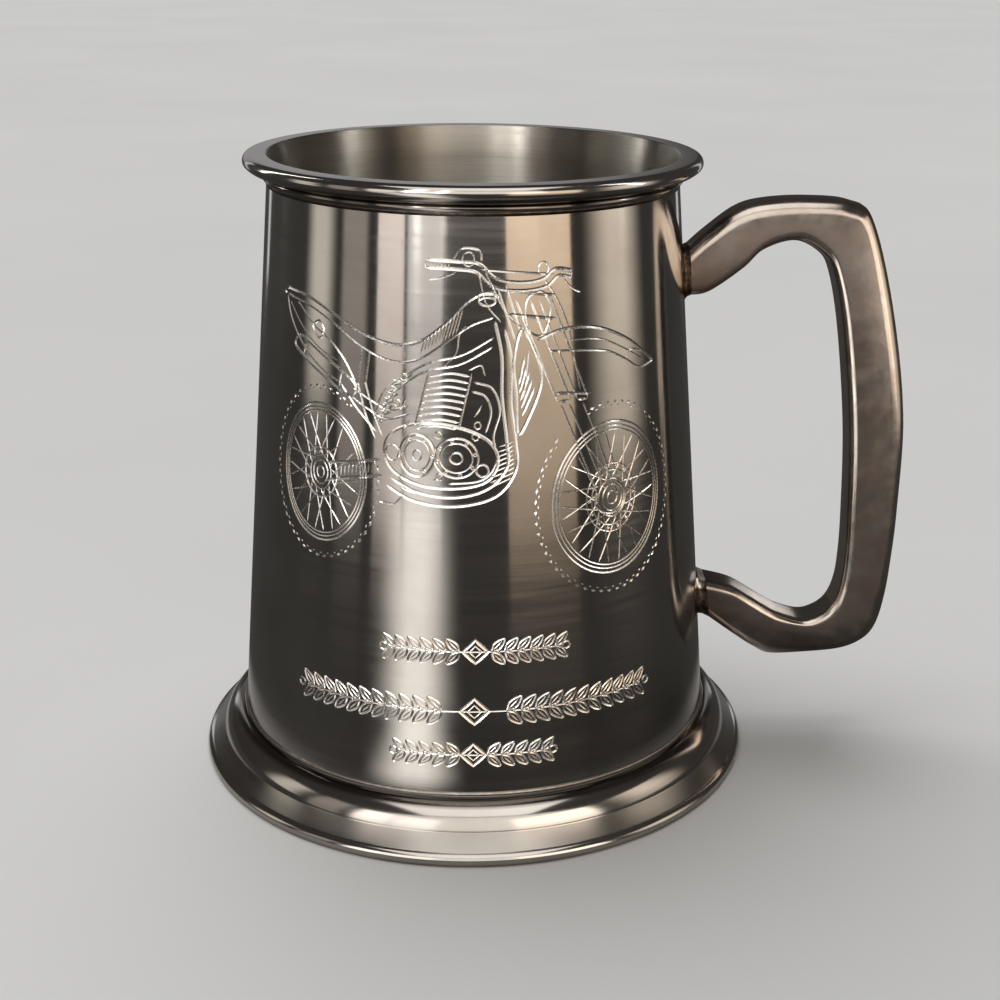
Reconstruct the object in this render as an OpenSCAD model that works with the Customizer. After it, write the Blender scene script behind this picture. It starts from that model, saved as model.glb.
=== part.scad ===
// Pewter tankard: tapered drum, flat-topped rim, soldered floor, flared foot and a cast handle.
// Millimetres. +Z is up, the cup's axis is Z, the foot rests on z = 0 and the handle lies along +X.

/* [Cup] */
// Height from the resting plane to the flat top of the rim
cup_h = 120; // [112:1:130]
// Outside radius of the drum where it meets the foot
drum_base_r = 47.1; // [45:0.1:49]
// Outside radius of the drum where it meets the rim
drum_mouth_r = 38.7; // [37:0.1:40]
// Thickness of the drum's sheet
drum_wall = 1.1; // [0.9:0.1:1.6]
// Thickness of the floor disc
floor_t = 1.3; // [1:0.1:2.5]

/* [Rim] */
// Depth of the rim ring
rim_h = 5.1; // [4.8:0.1:5.8]
// Outside radius of the rim ring's nose
rim_r = 42.9; // [42.5:0.1:44]
// Radius of the rounded nose
rim_nose_r = 1.3; // [0.9:0.1:1.4]
// Depth of the rebate that takes the top edge of the drum
rim_rebate_h = 2.4; // [1.5:0.1:3]
// How far the bore opens out towards the rim's inner edge
mouth_flare = 1.35; // [0.8:0.05:1.5]

/* [Foot] */
// Height of the collar around the top of the foot
foot_h = 10.2; // [9.8:0.1:11]
// Outside radius of the foot's rolled lip
foot_r = 55.4; // [54.6:0.1:57]
// Radius of the full, rounded shoulder below the collar
foot_shoulder_r = 5.9; // [5.6:0.1:6.2]
// Width of the flat ring that the tankard rests on
foot_land = 2.2; // [1.6:0.1:3]
// Thickness of the spun foot
foot_wall = 1.3; // [1:0.1:1.5]

/* [Handle] */
// Width of the bar across its flat sides
handle_w = 8.9; // [7.5:0.1:11]
// Radius of the two edges on the finger side
handle_inner_round = 2.1; // [1.2:0.1:2.6]
// Radius of the two edges on the outer side
handle_outer_round = 2.9; // [1.5:0.1:3.5]
// Stretch of the handle's reach, with 1 as cast for this cup
handle_reach = 1; // [0.95:0.01:1.1]

/* [Solder] */
// How far the handle's solder spreads over the drum
solder_spread = 0.9; // [0.5:0.1:1.5]
// Size of the soldered seams at the rim and the foot
seam_size = 0.5; // [0.4:0.1:0.8]
// Size of the solder fillet around the floor
floor_seam_size = 1.4; // [0.8:0.1:2.5]

/* [Hidden] */
$fn = 96;
pewter = [0.78, 0.77, 0.74];
cast_pewter = [0.62, 0.59, 0.55];
solder = [0.50, 0.44, 0.38];

// Levels along the cup's axis
flange_top = 9.2;
drum_foot_z = foot_h;
rim_foot_z = cup_h - rim_h;
drum_mouth_z = rim_foot_z - 0.5;
drum_top = cup_h - 0.6 - rim_rebate_h;
drum_taper = (drum_base_r - drum_mouth_r) / (drum_mouth_z - drum_foot_z);

// Radius of the drum's outside and inside at a level
function outside(z) = drum_base_r - (z - drum_foot_z) * drum_taper;
function inside(z) = outside(z) - drum_wall;
// Radius of the bore, which opens out smoothly over the last part of the height
flare_z = cup_h - 7;
function bore(z) = inside(z) + mouth_flare * pow(max(0, z - flare_z) / (cup_h - flare_z), 2);

// Points along an arc, and along a curve pulled towards one control point
function arc(c, r, a0, a1, n) =
    [for (i = [0:n]) c + r * [cos(a0 + (a1 - a0) * i / n), sin(a0 + (a1 - a0) * i / n)]];
function bow(a, pull, b, n) =
    [for (i = [0:n]) let (t = i / n) (1 - t) * (1 - t) * a + 2 * t * (1 - t) * pull + t * t * b];

// Rim profile
lip_r = 0.35;
lip_z = cup_h - lip_r;
nose = [rim_r - rim_nose_r, cup_h - rim_nose_r];
nose_end = nose + rim_nose_r * [cos(-28), sin(-28)];
rim_bead_r = 0.65;
rim_bead_c = [outside(rim_foot_z) + 0.04, rim_foot_z + 0.85];
rim_bead_end = rim_bead_c + rim_bead_r * [cos(-60), sin(-60)];
rim_profile = concat(
    [for (i = [0:6]) let (z = drum_top + (lip_z - drum_top) * i / 6) [bore(z), z]],
    arc([bore(lip_z) + lip_r, lip_z], lip_r, 165, 90, 4),
    arc(nose, rim_nose_r, 90, -28, 10),
    bow(nose_end, [rim_r - 1, cup_h - 3], rim_bead_c + rim_bead_r * [cos(60), sin(60)], 10),
    arc(rim_bead_c, rim_bead_r, 50, -60, 7),
    [[outside(rim_foot_z), rim_foot_z], [outside(drum_top), drum_top]]);

// Foot profile, outside then inside
collar = [outside(flange_top) + 0.32, foot_h - 0.2];
crease = [outside(flange_top) + 4.6, 4.95];
shoulder_c = crease - foot_shoulder_r * [cos(14), sin(14)];
hollow_r = foot_shoulder_r - foot_wall;
flange_end = [foot_r - 1.2, 2.35];
land_r = foot_r - 0.3;
heel_r = land_r - foot_land;
foot_profile = concat(
    [[outside(flange_top), flange_top], [outside(foot_h), foot_h], collar, [collar[0], flange_top]],
    arc(shoulder_c, foot_shoulder_r, 72, 14, 14),
    bow(crease, [crease[0] + 1.05, 3.55], flange_end, 8),
    bow(flange_end, [foot_r + 0.6, 1.7], [land_r, 0], 8),
    [[heel_r, 0]],
    bow([heel_r, 1.1], [heel_r - 1.6, 2.9], shoulder_c + hollow_r * [cos(15), sin(15)], 8),
    arc(shoulder_c, hollow_r, 20, 68, 8),
    [[outside(flange_top) - 0.2, flange_top - foot_wall],
     [outside(flange_top) - 3.1, flange_top - foot_wall], [outside(flange_top) - 3.1, flange_top]]);

// Handle stations, each [finger-side reach, finger-side level, outer reach, outer level]
stations = [
    [40.5, 93.0, 39.8, 101.4], [45.0, 93.8, 44.4, 105.6], [51.4, 98.3, 50.1, 109.8],
    [55.3, 102.0, 55.7, 111.3], [61.4, 103.7, 63.9, 111.7], [66.6, 100.9, 71.8, 110.9],
    [69.2, 96.6, 76.3, 107.4], [71.8, 84.9, 81.5, 90.4], [74.3, 65.2, 85.3, 69.0],
    [75.2, 46.5, 85.7, 49.0], [75.2, 37.0, 85.3, 37.6], [74.6, 31.6, 84.6, 29.6],
    [73.1, 27.9, 83.2, 23.4], [70.6, 25.8, 80.6, 20.0], [67.3, 25.0, 75.6, 17.9],
    [62.6, 26.4, 66.2, 17.0], [59.4, 28.2, 60.9, 17.0], [56.6, 30.0, 57.9, 18.4],
    [52.2, 32.5, 54.4, 20.7], [45.2, 34.3, 45.8, 27.0]];
last_station = len(stations) - 1;
steps = 5;
cast_h = 120;
round_steps = 5;

// Station i, with one more beyond each end, and a smooth path through them all
function station(i) =
    i < 0 ? 2 * stations[0] - stations[1]
    : i > last_station ? 2 * stations[last_station] - stations[last_station - 1]
    : stations[i];
function smooth(a, b, c, d, t) =
    0.5 * (2 * b + (c - a) * t + (2 * a - 5 * b + 4 * c - d) * t * t + (3 * b - a - 3 * c + d) * t * t * t);
function along(u) =
    let (i = min(floor(u), last_station - 1))
    smooth(station(i - 1), station(i), station(i + 1), station(i + 2), u - i);

// Section of the bar, h deep, as [depth from the finger side, distance across]
function section(h, grow = 0) =
    let (half = handle_w / 2 + grow, low = -grow, top = h + grow,
         ri = handle_inner_round + grow, ro = handle_outer_round + grow)
    concat(
        [for (i = [0:round_steps]) let (t = 90 * i / round_steps)
            [low + ri * (1 - cos(t)), half - ri * (1 - sin(t))]],
        [for (i = [0:round_steps]) let (t = 90 * i / round_steps)
            [top - ro * (1 - sin(t)), half - ro * (1 - cos(t))]],
        [for (i = [0:round_steps]) let (t = 90 * i / round_steps)
            [top - ro * (1 - cos(t)), ro * (1 - sin(t)) - half]],
        [for (i = [0:round_steps]) let (t = 90 * i / round_steps)
            [low + ri * (1 - sin(t)), ri * (1 - cos(t)) - half]]);

// The section placed at position u along the handle
function ring(u, grow = 0) =
    let (s = along(u), low = [s[0] * handle_reach, s[1] * cup_h / cast_h],
         top = [s[2] * handle_reach, s[3] * cup_h / cast_h], h = norm(top - low))
    [for (q = section(h, grow)) let (p = low + (top - low) * q[0] / h) [p[0], q[1], p[1]]];
// Points moved along X on to the drum's outside
function on_drum(points) = [for (p = points) [sqrt(pow(outside(p[2]), 2) - pow(p[1], 2)), p[1], p[2]]];

// Side faces between ring k and ring j of n points each
function band(k, j, n) =
    [for (i = [0:n - 1]) [k * n + i, k * n + (i + 1) % n, j * n + (i + 1) % n, j * n + i]];

module drum() {
    color(pewter) rotate_extrude($fn = 180) polygon(concat(
        [[inside(flange_top), flange_top], [outside(flange_top), flange_top], [outside(drum_top), drum_top]],
        [for (i = [0:6]) let (z = drum_top + (flare_z - drum_top) * i / 6) [bore(z), z]]));
}

module rim_ring() {
    color(pewter) rotate_extrude($fn = 180) polygon(rim_profile);
}

module floor_disc() {
    color(pewter) translate([0, 0, flange_top])
        cylinder(h = floor_t, r1 = inside(flange_top), r2 = inside(flange_top + floor_t), $fn = 180);
}

module foot() {
    color(pewter) rotate_extrude($fn = 180) polygon(foot_profile);
}

module handle() {
    last = last_station * steps;
    rings = [for (k = [0:last])
        let (r = ring(k / steps)) k == 0 || k == last ? on_drum(r) : r];
    n = len(rings[0]);
    color(cast_pewter) polyhedron(
        points = [for (r = rings) each r],
        faces = concat(
            [[for (i = [n - 1:-1:0]) i]],
            [for (k = [0:last - 1]) each band(k, k + 1, n)],
            [[for (i = [0:n - 1]) last * n + i]]),
        convexity = 6);
}

// Solder drawn up around one end of the handle: u is the end, next the ring beside it
module handle_solder(u, next) {
    loops = [on_drum(ring(u)), on_drum(ring(u, solder_spread)), ring(next)];
    n = len(loops[0]);
    forward = next > u;
    faces = [for (k = [0:2]) each band(k, (k + 1) % 3, n)];
    color(solder) polyhedron(
        points = [for (l = loops) each l],
        faces = forward ? faces : [for (f = faces) [f[3], f[2], f[1], f[0]]],
        convexity = 4);
}

module handle_upper_solder() {
    handle_solder(0, 1 / steps);
}

module handle_lower_solder() {
    handle_solder(last_station, last_station - 1 / steps);
}

module rim_solder() {
    corner = [outside(rim_foot_z), rim_foot_z];
    color(solder) rotate_extrude($fn = 180) polygon([
        corner, corner + 0.85 * (rim_bead_end - corner),
        [outside(rim_foot_z - seam_size), rim_foot_z - seam_size]]);
}

module foot_solder() {
    corner = [outside(foot_h), foot_h];
    color(solder) rotate_extrude($fn = 180) polygon([
        corner, corner + 0.85 * (collar - corner), [outside(foot_h + seam_size), foot_h + seam_size]]);
}

module floor_solder() {
    floor_top = flange_top + floor_t;
    color(solder) rotate_extrude($fn = 180) polygon(concat(
        [[inside(floor_top), floor_top]],
        bow([inside(floor_top + floor_seam_size), floor_top + floor_seam_size],
            [inside(floor_top) - 0.3, floor_top + 0.3],
            [inside(floor_top) - floor_seam_size, floor_top], 6)));
}

drum();
rim_ring();
floor_disc();
foot();
handle();
handle_upper_solder();
handle_lower_solder();
rim_solder();
foot_solder();
floor_solder();
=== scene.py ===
"""Looks of the pewter tankard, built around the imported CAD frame.

Metres throughout, in the CAD's frame: +Z up the cup's axis, the foot on z = 0, the handle along +X and the
engraved side facing -Y. Shapes are written in millimetres and scaled by MM as they are built.
"""
import math

import bpy
import numpy as np
from mathutils import Matrix, Vector, kdtree
from mathutils.geometry import delaunay_2d_cdt


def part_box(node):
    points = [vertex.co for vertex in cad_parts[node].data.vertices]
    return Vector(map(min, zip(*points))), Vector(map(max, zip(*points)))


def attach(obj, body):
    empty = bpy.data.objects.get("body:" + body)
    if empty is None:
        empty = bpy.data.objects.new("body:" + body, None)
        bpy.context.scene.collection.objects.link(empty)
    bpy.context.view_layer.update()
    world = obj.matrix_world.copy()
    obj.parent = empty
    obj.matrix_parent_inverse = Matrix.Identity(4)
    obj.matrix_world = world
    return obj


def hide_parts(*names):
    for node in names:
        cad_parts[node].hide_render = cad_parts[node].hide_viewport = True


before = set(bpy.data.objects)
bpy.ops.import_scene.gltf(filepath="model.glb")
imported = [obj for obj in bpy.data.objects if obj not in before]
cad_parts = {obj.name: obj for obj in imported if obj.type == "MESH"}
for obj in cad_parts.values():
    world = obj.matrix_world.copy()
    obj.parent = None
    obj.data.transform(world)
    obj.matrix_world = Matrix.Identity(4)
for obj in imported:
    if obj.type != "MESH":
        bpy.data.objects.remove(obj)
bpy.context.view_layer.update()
MM = 0.001

# ------------------------------ sizes, in millimetres
drum_low, drum_high = (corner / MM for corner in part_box("drum"))
foot_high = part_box("foot")[1] / MM
rim_low, rim_high = (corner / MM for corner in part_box("rim_ring"))
floor_low, floor_high = (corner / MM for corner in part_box("floor_disc"))
handle_low, handle_high = (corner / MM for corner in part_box("handle"))

CUP_H = rim_high.z
DRUM_BOTTOM, DRUM_TOP = drum_low.z, drum_high.z
DRUM_FOOT_R = (drum_high.y - drum_low.y) / 2
DRUM_WALL = 1.1
DRUM_TAPER = 8.4 / 104.2
MOUTH_FLARE = 1.35
FOOT_R = 55.4
FOOT_H = foot_high.z
RIM_R = (rim_high.y - rim_low.y) / 2
RIM_FOOT = rim_low.z
FLOOR_TOP = floor_high.z
FLARE_Z = CUP_H - 7
TURNS = 288


def outside(z):
    """Outside radius of the drum at a level."""
    return DRUM_FOOT_R - (z - DRUM_BOTTOM) * DRUM_TAPER


def inside(z):
    """Inside radius of the drum's straight part at a level."""
    return outside(z) - DRUM_WALL


def bore(z):
    """Inside radius at a level, with the mouth that opens out at the top."""
    return inside(z) + MOUTH_FLARE * (max(0.0, z - FLARE_Z) / (CUP_H - FLARE_Z)) ** 2


# ------------------------------ mesh helpers
def add_object(name, data):
    thing = bpy.data.objects.new(name, data)
    bpy.context.scene.collection.objects.link(thing)
    return thing


def make_piece(name, verts, faces, materials, slots=None):
    """A smooth-shaded mesh object from points in millimetres."""
    mesh = bpy.data.meshes.new(name)
    mesh.from_pydata([Vector(v) * MM for v in verts], [], faces)
    for material in materials:
        mesh.materials.append(material)
    if slots is not None:
        mesh.polygons.foreach_set("material_index", slots)
    mesh.polygons.foreach_set("use_smooth", [True] * len(mesh.polygons))
    mesh.update()
    return add_object(name, mesh)


def hand_over(piece, node):
    """The piece stands for a CAD node: it moves with the one body and the CAD node is hidden."""
    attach(piece, "root")
    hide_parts(node)


def crease(piece, degrees):
    """Edges sharper than this angle stay crisp."""
    piece.data.set_sharp_from_angle(angle=math.radians(degrees))


def arc(centre, radius, start, end, steps):
    """Points along an arc, from one angle to another in degrees."""
    angles = [math.radians(start + (end - start) * i / steps) for i in range(steps + 1)]
    return [(centre[0] + radius * math.cos(a), centre[1] + radius * math.sin(a)) for a in angles]


def bow(a, pull, b, steps):
    """Points along a curve from a to b that is pulled towards one control point."""
    points = []
    for i in range(steps + 1):
        t = i / steps
        points.append(tuple((1 - t) ** 2 * a[k] + 2 * t * (1 - t) * pull[k] + t * t * b[k] for k in (0, 1)))
    return points


def turn(name, profile, materials, slot_of=None, turns=TURNS):
    """A closed outline of (radius, level) points turned about the Z axis."""
    n = len(profile)
    verts, faces, slots = [], [], []
    for i in range(turns):
        angle = 2 * math.pi * i / turns
        verts += [(r * math.cos(angle), r * math.sin(angle), z) for r, z in profile]
    for i in range(turns):
        j = (i + 1) % turns
        for k in range(n):
            m = (k + 1) % n
            faces.append((i * n + k, j * n + k, j * n + m, i * n + m))
            slots.append(slot_of(profile[k], profile[m]) if slot_of else 0)
    return make_piece(name, verts, faces, materials, slots)


def loft(rings, closed_path=False):
    """Faces that join each ring of points to the next."""
    n, last = len(rings[0]), len(rings) - 1
    pairs = [(k, k + 1) for k in range(last)] + ([(last, 0)] if closed_path else [])
    return [(k * n + i, k * n + (i + 1) % n, j * n + (i + 1) % n, j * n + i)
            for k, j in pairs for i in range(n)]


def smooth_path(points, per_span, closed=False):
    """Points along a Catmull-Rom curve through the given points."""
    p = [np.array(q, float) for q in points]
    if closed:
        ring = [p[-1]] + p + [p[0], p[1]]
    else:
        ring = [2 * p[0] - p[1]] + p + [2 * p[-1] - p[-2]]
    path = []
    for i in range(1, len(ring) - 2):
        a, b, c, d = ring[i - 1:i + 3]
        for t in (j / per_span for j in range(per_span)):
            path.append(0.5 * (2 * b + (c - a) * t + (2 * a - 5 * b + 4 * c - d) * t * t
                               + (3 * b - a - 3 * c + d) * t ** 3))
    if not closed:
        path.append(p[-1])
    return path


# ------------------------------ materials
class Shader:
    """A material's node tree with its one Principled shader, and short ways to add nodes."""

    def __init__(self, name, metallic=1.0, **sockets):
        self.material = bpy.data.materials.new(name)
        self.material.use_nodes = True
        self.tree = self.material.node_tree
        self.bsdf = self.tree.nodes["Principled BSDF"]
        self.bsdf.inputs["Metallic"].default_value = metallic
        for socket, value in sockets.items():
            self.bsdf.inputs[socket.replace("_", " ")].default_value = value
        self.place = self.node("TexCoord").outputs["Object"]

    def fill(self, socket, value):
        """Joins another node's output to the socket, or gives it a value."""
        if isinstance(value, bpy.types.NodeSocket):
            self.tree.links.new(value, socket)
        elif value is not None:
            socket.default_value = value

    def node(self, kind, inputs=()):
        """A new node with its inputs filled, each given by name or number."""
        node = self.tree.nodes.new("ShaderNode" + kind)
        for socket, value in inputs:
            self.fill(node.inputs[socket], value)
        return node

    def math(self, operation, a, b=None):
        node = self.node("Math", ((0, a), (1, b)))
        node.operation = operation
        return node.outputs[0]

    def apart(self):
        """The object coordinates x, y and z as three values."""
        return self.node("SeparateXYZ", ((0, self.place),)).outputs

    def around(self, turns_scale, radius_scale, level_scale):
        """Coordinates that follow the turned surface: angle, distance from the axis and level."""
        x, y, z = self.apart()
        square = self.math("ADD", self.math("MULTIPLY", x, x), self.math("MULTIPLY", y, y))
        parts = (self.math("ARCTAN2", y, x), self.math("SQRT", square), z)
        scaled = [self.math("MULTIPLY", part, scale)
                  for part, scale in zip(parts, (turns_scale, radius_scale, level_scale))]
        return self.node("CombineXYZ", enumerate(scaled)).outputs[0]

    def stretched(self, x, y, z):
        """Object coordinates scaled along each axis."""
        return self.node("Mapping", (("Vector", self.place), ("Scale", (x, y, z)))).outputs[0]

    def noise(self, scale, detail=3.0, roughness=0.55, place=None):
        place = self.place if place is None else place
        return self.node("TexNoise", (("Vector", place), ("Scale", scale), ("Detail", detail),
                                      ("Roughness", roughness))).outputs["Fac"]

    def cells(self, scale):
        return self.node("TexVoronoi", (("Vector", self.place), ("Scale", scale))).outputs["Distance"]

    def span(self, value, low, high, out_low, out_high):
        """Maps low..high of a value to out_low..out_high and holds it there."""
        return self.node("MapRange", enumerate((value, low, high, out_low, out_high))).outputs[0]

    def ramp(self, value, stops):
        node = self.node("ValToRGB", (("Fac", value),))
        ends = node.color_ramp.elements
        while len(ends) < len(stops):
            ends.new(0.5)
        for end, (position, colour) in zip(ends, stops):
            end.position = position
            end.color = (*colour, 1)
        return node.outputs["Color"]

    def blend(self, share, a, b):
        """Goes from colour a to colour b as the share rises to 1."""
        node = self.node("Mix")
        node.data_type = "RGBA"
        self.fill(node.inputs["Factor"], share)
        for name, value in (("A", a), ("B", b)):
            socket = [s for s in node.inputs if s.name == name and s.type == "RGBA"][0]
            self.fill(socket, (*value, 1) if isinstance(value, tuple) else value)
        return [s for s in node.outputs if s.type == "RGBA"][0]

    def near(self, point, low, high):
        """1 at a point, given in metres, falling to 0 between two distances from it."""
        node = self.node("VectorMath", ((0, self.place), (1, point)))
        node.operation = "DISTANCE"
        return self.span(node.outputs["Value"], low, high, 1.0, 0.0)

    def level_band(self, level, half):
        """1 at a level, given in millimetres, falling to 0 at half a band's depth above and below it."""
        away = self.math("ABSOLUTE", self.math("SUBTRACT", self.apart()[2], level * MM))
        return self.span(away, 0.4 * half * MM, half * MM, 1.0, 0.0)

    def bump(self, height, strength, distance, below=None):
        """Relief of this height in metres, over the relief below it."""
        return self.node("Bump", (("Height", height), ("Strength", strength), ("Distance", distance),
                                  ("Normal", below))).outputs["Normal"]

    def turned_grain(self):
        """Reflections spread along the axis, as on metal polished on a lathe."""
        node = self.node("Tangent")
        node.direction_type, node.axis = "RADIAL", "Z"
        self.fill(self.bsdf.inputs["Tangent"], node.outputs[0])

    def finish(self, colour, roughness=None, normal=None):
        for value, socket in ((colour, "Base Color"), (roughness, "Roughness"), (normal, "Normal")):
            self.fill(self.bsdf.inputs[socket], value)
        return self.material


def polished_pewter(name, rough_low, rough_high, grain, dark_bands=(), tone=1.0):
    """Lathe-polished pewter: cloudy tone, faint turning lines, a few fine scratches, shallow dents and darker
    bands at the given levels.
    """
    s = Shader(name, Anisotropic=grain, Anisotropic_Rotation=0.25)
    s.turned_grain()
    clouds = s.noise(55, 4)
    tones = ((0.30, (0.46, 0.44, 0.42)), (0.55, (0.52, 0.505, 0.485)), (0.80, (0.56, 0.55, 0.53)))
    colour = s.ramp(clouds, [(position, tuple(c * tone for c in shade)) for position, shade in tones])
    # Darker in a band round each given level (millimetres, half depth).
    for level, half in dark_bands:
        colour = s.blend(s.level_band(level, half), colour, (0.16, 0.145, 0.13))
    streaks = s.noise(1.0, 4, place=s.around(1.2, 30, 900))
    roughness = s.span(streaks, 0.25, 0.75, rough_low, rough_high)
    turning = s.noise(1.0, 2, place=s.around(0.6, 2600, 2600))
    scratches = s.span(s.noise(1500, 2, 0.7, place=s.stretched(1, 1, 0.06)), 0.70, 0.86, 0.0, 1.0)
    dents = s.noise(38, 2)
    normal = s.bump(dents, 0.25, 0.0002)
    normal = s.bump(turning, 0.10, 0.00003, normal)
    normal = s.bump(scratches, 0.12, 0.00003, normal)
    return s.finish(colour, roughness, normal)


def brushed_pewter():
    """The inside of the cup, brushed round and round, so that lights draw out into upright streaks."""
    s = Shader("brushed_pewter", Anisotropic=1.0, Anisotropic_Rotation=0.25)
    s.turned_grain()
    lines = s.noise(1.0, 4, 0.65, place=s.around(1.0, 1800, 4200))
    broad = s.noise(1.0, 3, place=s.around(0.8, 200, 420))
    colour = s.ramp(s.math("ADD", s.math("MULTIPLY", lines, 0.5), s.math("MULTIPLY", broad, 0.5)),
                    [(0.30, (0.42, 0.40, 0.36)), (0.70, (0.60, 0.575, 0.53))])
    roughness = s.span(broad, 0.3, 0.7, 0.34, 0.42)
    normal = s.bump(lines, 0.30, 0.00005)
    return s.finish(colour, roughness, normal)


def cut_pewter():
    """The bright walls of the engraved lines."""
    s = Shader("cut_pewter")
    chatter = s.noise(5200, 2)
    colour = s.ramp(chatter, [(0.3, (0.74, 0.73, 0.71)), (0.7, (0.90, 0.89, 0.87))])
    roughness = s.span(chatter, 0.3, 0.7, 0.18, 0.34)
    return s.finish(colour, roughness, s.bump(chatter, 0.3, 0.00003))


def cast_pewter():
    """The handle: a hand-finished casting, satin and brownish, with heat stains beside the solder."""
    s = Shader("cast_pewter")
    clouds = s.noise(60, 5, 0.6)
    colour = s.ramp(clouds, [(0.28, (0.46, 0.40, 0.365)), (0.50, (0.56, 0.515, 0.475)),
                             (0.74, (0.66, 0.635, 0.61))])
    blush = s.span(s.noise(170, 5, 0.65), 0.50, 0.68, 0.0, 0.6)
    colour = s.blend(blush, colour, (0.56, 0.44, 0.39))
    stain = s.noise(150, 4, 0.7)
    patchy = s.span(stain, 0.3, 0.65, 0.25, 1.0)
    for joint, reach, shade in (((0.0410, 0, 0.0970), 0.010, (0.40, 0.28, 0.20)),
                                ((0.0465, 0, 0.0300), 0.012, (0.15, 0.10, 0.075))):
        heat = s.math("MULTIPLY", s.near(joint, 0.003, reach), patchy)
        colour = s.blend(heat, colour, shade)
    roughness = s.span(s.noise(300, 5), 0.3, 0.7, 0.15, 0.27)
    grit = s.noise(1100, 3, 0.6)
    pits = s.span(s.cells(260), 0.02, 0.07, 0.0, 1.0)
    waves = s.noise(40, 2)
    normal = s.bump(waves, 0.12, 0.0003)
    normal = s.bump(grit, 0.22, 0.00005, normal)
    normal = s.bump(pits, 0.10, 0.00005, normal)
    return s.finish(colour, roughness, normal)


def solder_metal(name, dark, light, painted_glint_at=None):
    """Soft solder: dull, lumpy and stained by heat and flux, with one bright painted highlight (a glint) at
    the point given.
    """
    s = Shader(name)
    stain = s.noise(520, 4, 0.65)
    colour = s.ramp(stain, [(0.42, dark), (0.70, light)])
    if painted_glint_at:
        # Painted highlight: a small bright spot of colour at the given point, standing in for a glint.
        colour = s.blend(s.near(painted_glint_at, 0.0009, 0.0014), colour, (0.86, 0.81, 0.74))
    roughness = s.span(stain, 0.3, 0.7, 0.45, 0.28)
    return s.finish(colour, roughness, s.bump(s.noise(900, 3), 0.5, 0.0002))


POLISHED = polished_pewter("polished_pewter", 0.10, 0.16, 0.9)
# Its darker bands lie just under the rim's nose and at the top of the foot, where it meets the drum.
RIM_POLISH = polished_pewter("rim_polish", 0.11, 0.18, 0.2, dark_bands=((116.6, 1.6), (9.1, 0.8)))
SATIN = polished_pewter("satin_pewter", 0.26, 0.34, 0.9, tone=0.85)
BRUSHED = brushed_pewter()
CUT = cut_pewter()
CAST = cast_pewter()
# The last point is where the handle solder's painted highlight sits, on the lower joint.
SOLDER = solder_metal("handle_solder", (0.055, 0.035, 0.022), (0.30, 0.24, 0.19), (0.0458, -0.0042, 0.0338))
SEAM = solder_metal("seam_solder", (0.42, 0.39, 0.36), (0.60, 0.57, 0.53))
# The rim's seam is the same solder painted darker: painted shade, for the seam under the rim's overhang.
RIM_SEAM_SHADED = solder_metal("shaded_rim_seam_solder", (0.10, 0.085, 0.075), (0.22, 0.19, 0.17))

# ------------------------------ engraving
# A drawing on the unrolled drum: x runs round the cup in millimetres at UNROLL_R, y is the level.
UNROLL_R = 43.0
CUT_SLOPE = 0.55
FINE, LINE, BOLD = 0.16, 0.22, 0.31
STEP = 1.0
strokes = []


def resample(points, closed):
    """The same path with points no further apart than STEP."""
    path = []
    ends = points + [points[0]] if closed else points
    for a, b in zip(ends, ends[1:]):
        a, b = np.array(a, float), np.array(b, float)
        pieces = max(1, math.ceil(np.linalg.norm(b - a) / STEP))
        path += [a + (b - a) * i / pieces for i in range(pieces)]
    if not closed:
        path.append(np.array(ends[-1], float))
    return path


def stroke(points, half=LINE, closed=False):
    """An engraved line through these points."""
    path = resample(points, closed)
    if len(path) > 1:
        strokes.append((path, half, closed))


def curve(points, half=LINE, closed=False, per_span=6):
    """An engraved smooth curve through these points."""
    stroke([tuple(p) for p in smooth_path(points, per_span, closed)], half, closed)


def oval(centre, rx, ry, half=LINE, start=0, end=360):
    """An engraved ellipse, or the stretch of it between two angles."""
    whole = end - start >= 360
    steps = max(6, round(math.radians(end - start) * max(rx, ry) / 0.55))
    count = steps if whole else steps + 1
    angles = [math.radians(start + (end - start) * i / steps) for i in range(count)]
    stroke([(centre[0] + rx * math.cos(a), centre[1] + ry * math.sin(a)) for a in angles], half, whole)


def hatch(a, b, c, d, count, half=FINE):
    """Parallel cuts across the four-sided patch from edge a-b to edge d-c."""
    for i in range(count):
        t = (i + 0.5) / count
        stroke([tuple(a[k] + (b[k] - a[k]) * t for k in (0, 1)),
                tuple(d[k] + (c[k] - d[k]) * t for k in (0, 1))], half)


def at(centre, rx, ry, share, degrees):
    """A point on the ellipse of this share of a wheel's size."""
    angle = math.radians(degrees)
    return (centre[0] + share * rx * math.cos(angle), centre[1] + share * ry * math.sin(angle))


def wheel(centre, rx, ry, knobs, spokes, hidden=()):
    """A spoked wheel with a knobbly tyre. hidden lists the angles where other parts cover the tyre."""
    def covered(degrees):
        return any(low <= degrees % 360 <= high for low, high in hidden)

    for i in range(knobs):
        turn_angle = 360 * i / knobs
        pitch = 360 / knobs
        if covered(turn_angle):
            continue
        stroke([at(centre, rx, ry, 1.0, turn_angle + pitch * s) for s in (0.0, 0.3, 0.6)], BOLD)
        stroke([at(centre, rx, ry, 0.965, turn_angle + pitch * s) for s in (0.6, 0.8, 1.0)], FINE)
    for share, half in ((0.80, LINE), (0.755, FINE), (0.715, FINE)):
        oval(centre, rx * share, ry * share, half)
    for i in range(spokes):
        base = 360 * i / spokes
        lean = 34 if i % 2 else -34
        stroke([at(centre, rx, ry, 0.20, base + lean), at(centre, rx, ry, 0.70, base)], FINE)
    for share in (0.07, 0.14, 0.20):
        oval(centre, rx * share, ry * share, FINE)


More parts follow.
